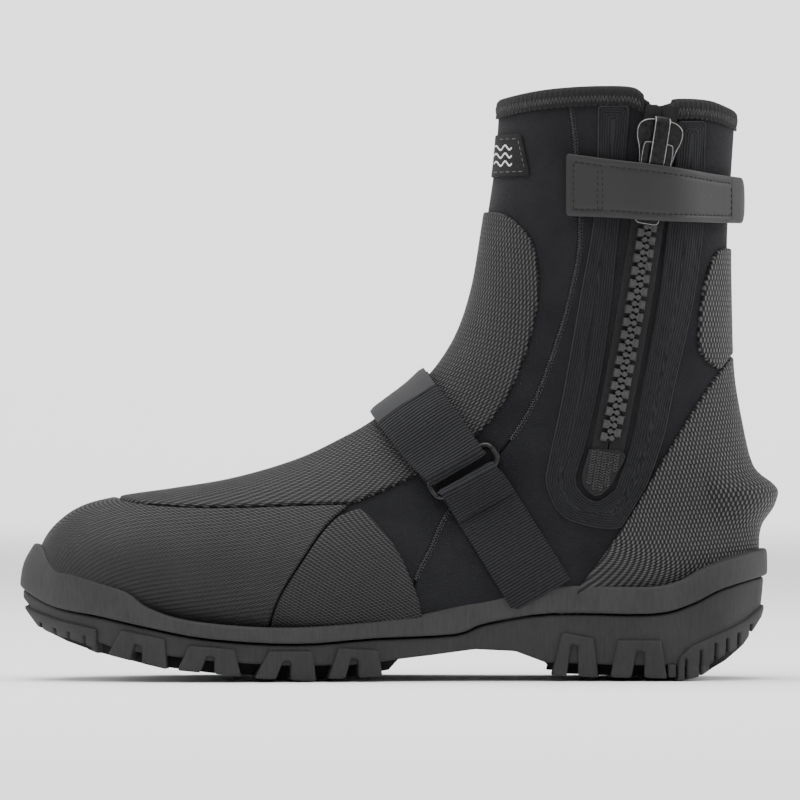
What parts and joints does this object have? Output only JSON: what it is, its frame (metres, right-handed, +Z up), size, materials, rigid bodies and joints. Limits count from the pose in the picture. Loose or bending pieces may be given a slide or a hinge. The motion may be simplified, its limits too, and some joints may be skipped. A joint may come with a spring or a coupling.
{
  "type": "neoprene boot",
  "caption": "Ankle-high neoprene water sports boot, right foot, with a lugged rubber sole, inner side zip, instep webbing strap through a ring and an ankle strap.",
  "frame": {"origin": "on the ground under the middle of the boot's length and width", "axes": "+X towards the heel, -X towards the toe, -Y the inner side with the zip, +Z up"},
  "size_m": [0.304, 0.1092, 0.2372],
  "materials": {
    "sole_rubber": "matt moulded rubber with a fine grain",
    "foam": "matt closed-cell foam",
    "neoprene": "matt nylon jersey laminated to neoprene",
    "binding": "ribbed stretch knit tape",
    "label_cloth": "woven label",
    "textured_rubber": "rubber sheet with a raised diamond pattern",
    "zip_tape": "woven polyester tape",
    "zip_teeth": "satin moulded plastic",
    "slider": "satin black lacquer",
    "strap_rubber": "smooth satin rubberised strap",
    "hook_and_loop": "hook and loop tape",
    "ring": "satin black lacquer",
    "webbing": "ribbed woven webbing"
  },
  "bodies": {
    "boot": {"outsole": "sole_rubber", "rand": "sole_rubber", "midsole": "foam", "insole": "foam", "front_panel": "neoprene", "medial_quarter": "neoprene", "lateral_quarter": "neoprene", "zip_gusset": "neoprene", "collar_binding": "binding", "label": "label_cloth", "shin_guard": "textured_rubber", "toe_cap": "textured_rubber", "medial_toe_wedge": "textured_rubber", "lateral_toe_wedge": "textured_rubber", "heel_cap": "textured_rubber", "achilles_patch": "textured_rubber", "zip_tape_front": "zip_tape", "zip_tape_rear": "zip_tape", "zip_chain_front": "zip_teeth", "zip_chain_rear": "zip_teeth", "zip_top_stop_front": "zip_teeth", "zip_top_stop_rear": "zip_teeth", "zip_bottom_patch": "zip_tape", "zip_u_tape": "binding", "ankle_strap_base": "strap_rubber", "loop_patch": "hook_and_loop", "instep_strap": "webbing", "lower_webbing": "webbing"},
    "slider": {"zip_slider": "slider"},
    "puller": {"zip_puller": "slider"},
    "ankle_strap": {"ankle_strap": "strap_rubber", "hook_patch": "hook_and_loop"},
    "ring": {"strap_ring": "ring"},
    "tail": {"strap_tail": "webbing", "grip_tab": "strap_rubber"}
  },
  "joints": [
    {"name": "zip_slide", "type": "slide", "parent": "boot", "child": "slider", "axis": [-0.1564, -0.0117, -0.9876], "range_m": [0, 0.1]},
    {"name": "ankle_strap_open", "type": "hinge", "parent": "boot", "child": "ankle_strap", "pos_m": [0.082, -0.04204, 0.196], "axis": [0, 0, -1], "range_deg": [0, 140]},
    {"name": "puller_lift", "type": "hinge", "parent": "slider", "child": "puller", "pos_m": [0.10287, -0.03994, 0.21346], "axis": [-0.9685, -0.1945, 0.1556], "range_deg": [0, 70]},
    {"name": "ring_tilt", "type": "hinge", "parent": "boot", "child": "ring", "pos_m": [0.02772, -0.03625, 0.07968], "axis": [0.8376, -0.0566, 0.5433], "range_deg": [0, 20]},
    {"name": "strap_tail_peel", "type": "hinge", "parent": "ring", "child": "tail", "pos_m": [0.02294, -0.03357, 0.08732], "axis": [0.8376, -0.0566, 0.5433], "range_deg": [0, 90]}
  ],
  "couplings": [
    {"joint": "puller_lift", "follows": "ankle_strap_open", "ratio": 0.5}
  ]
}
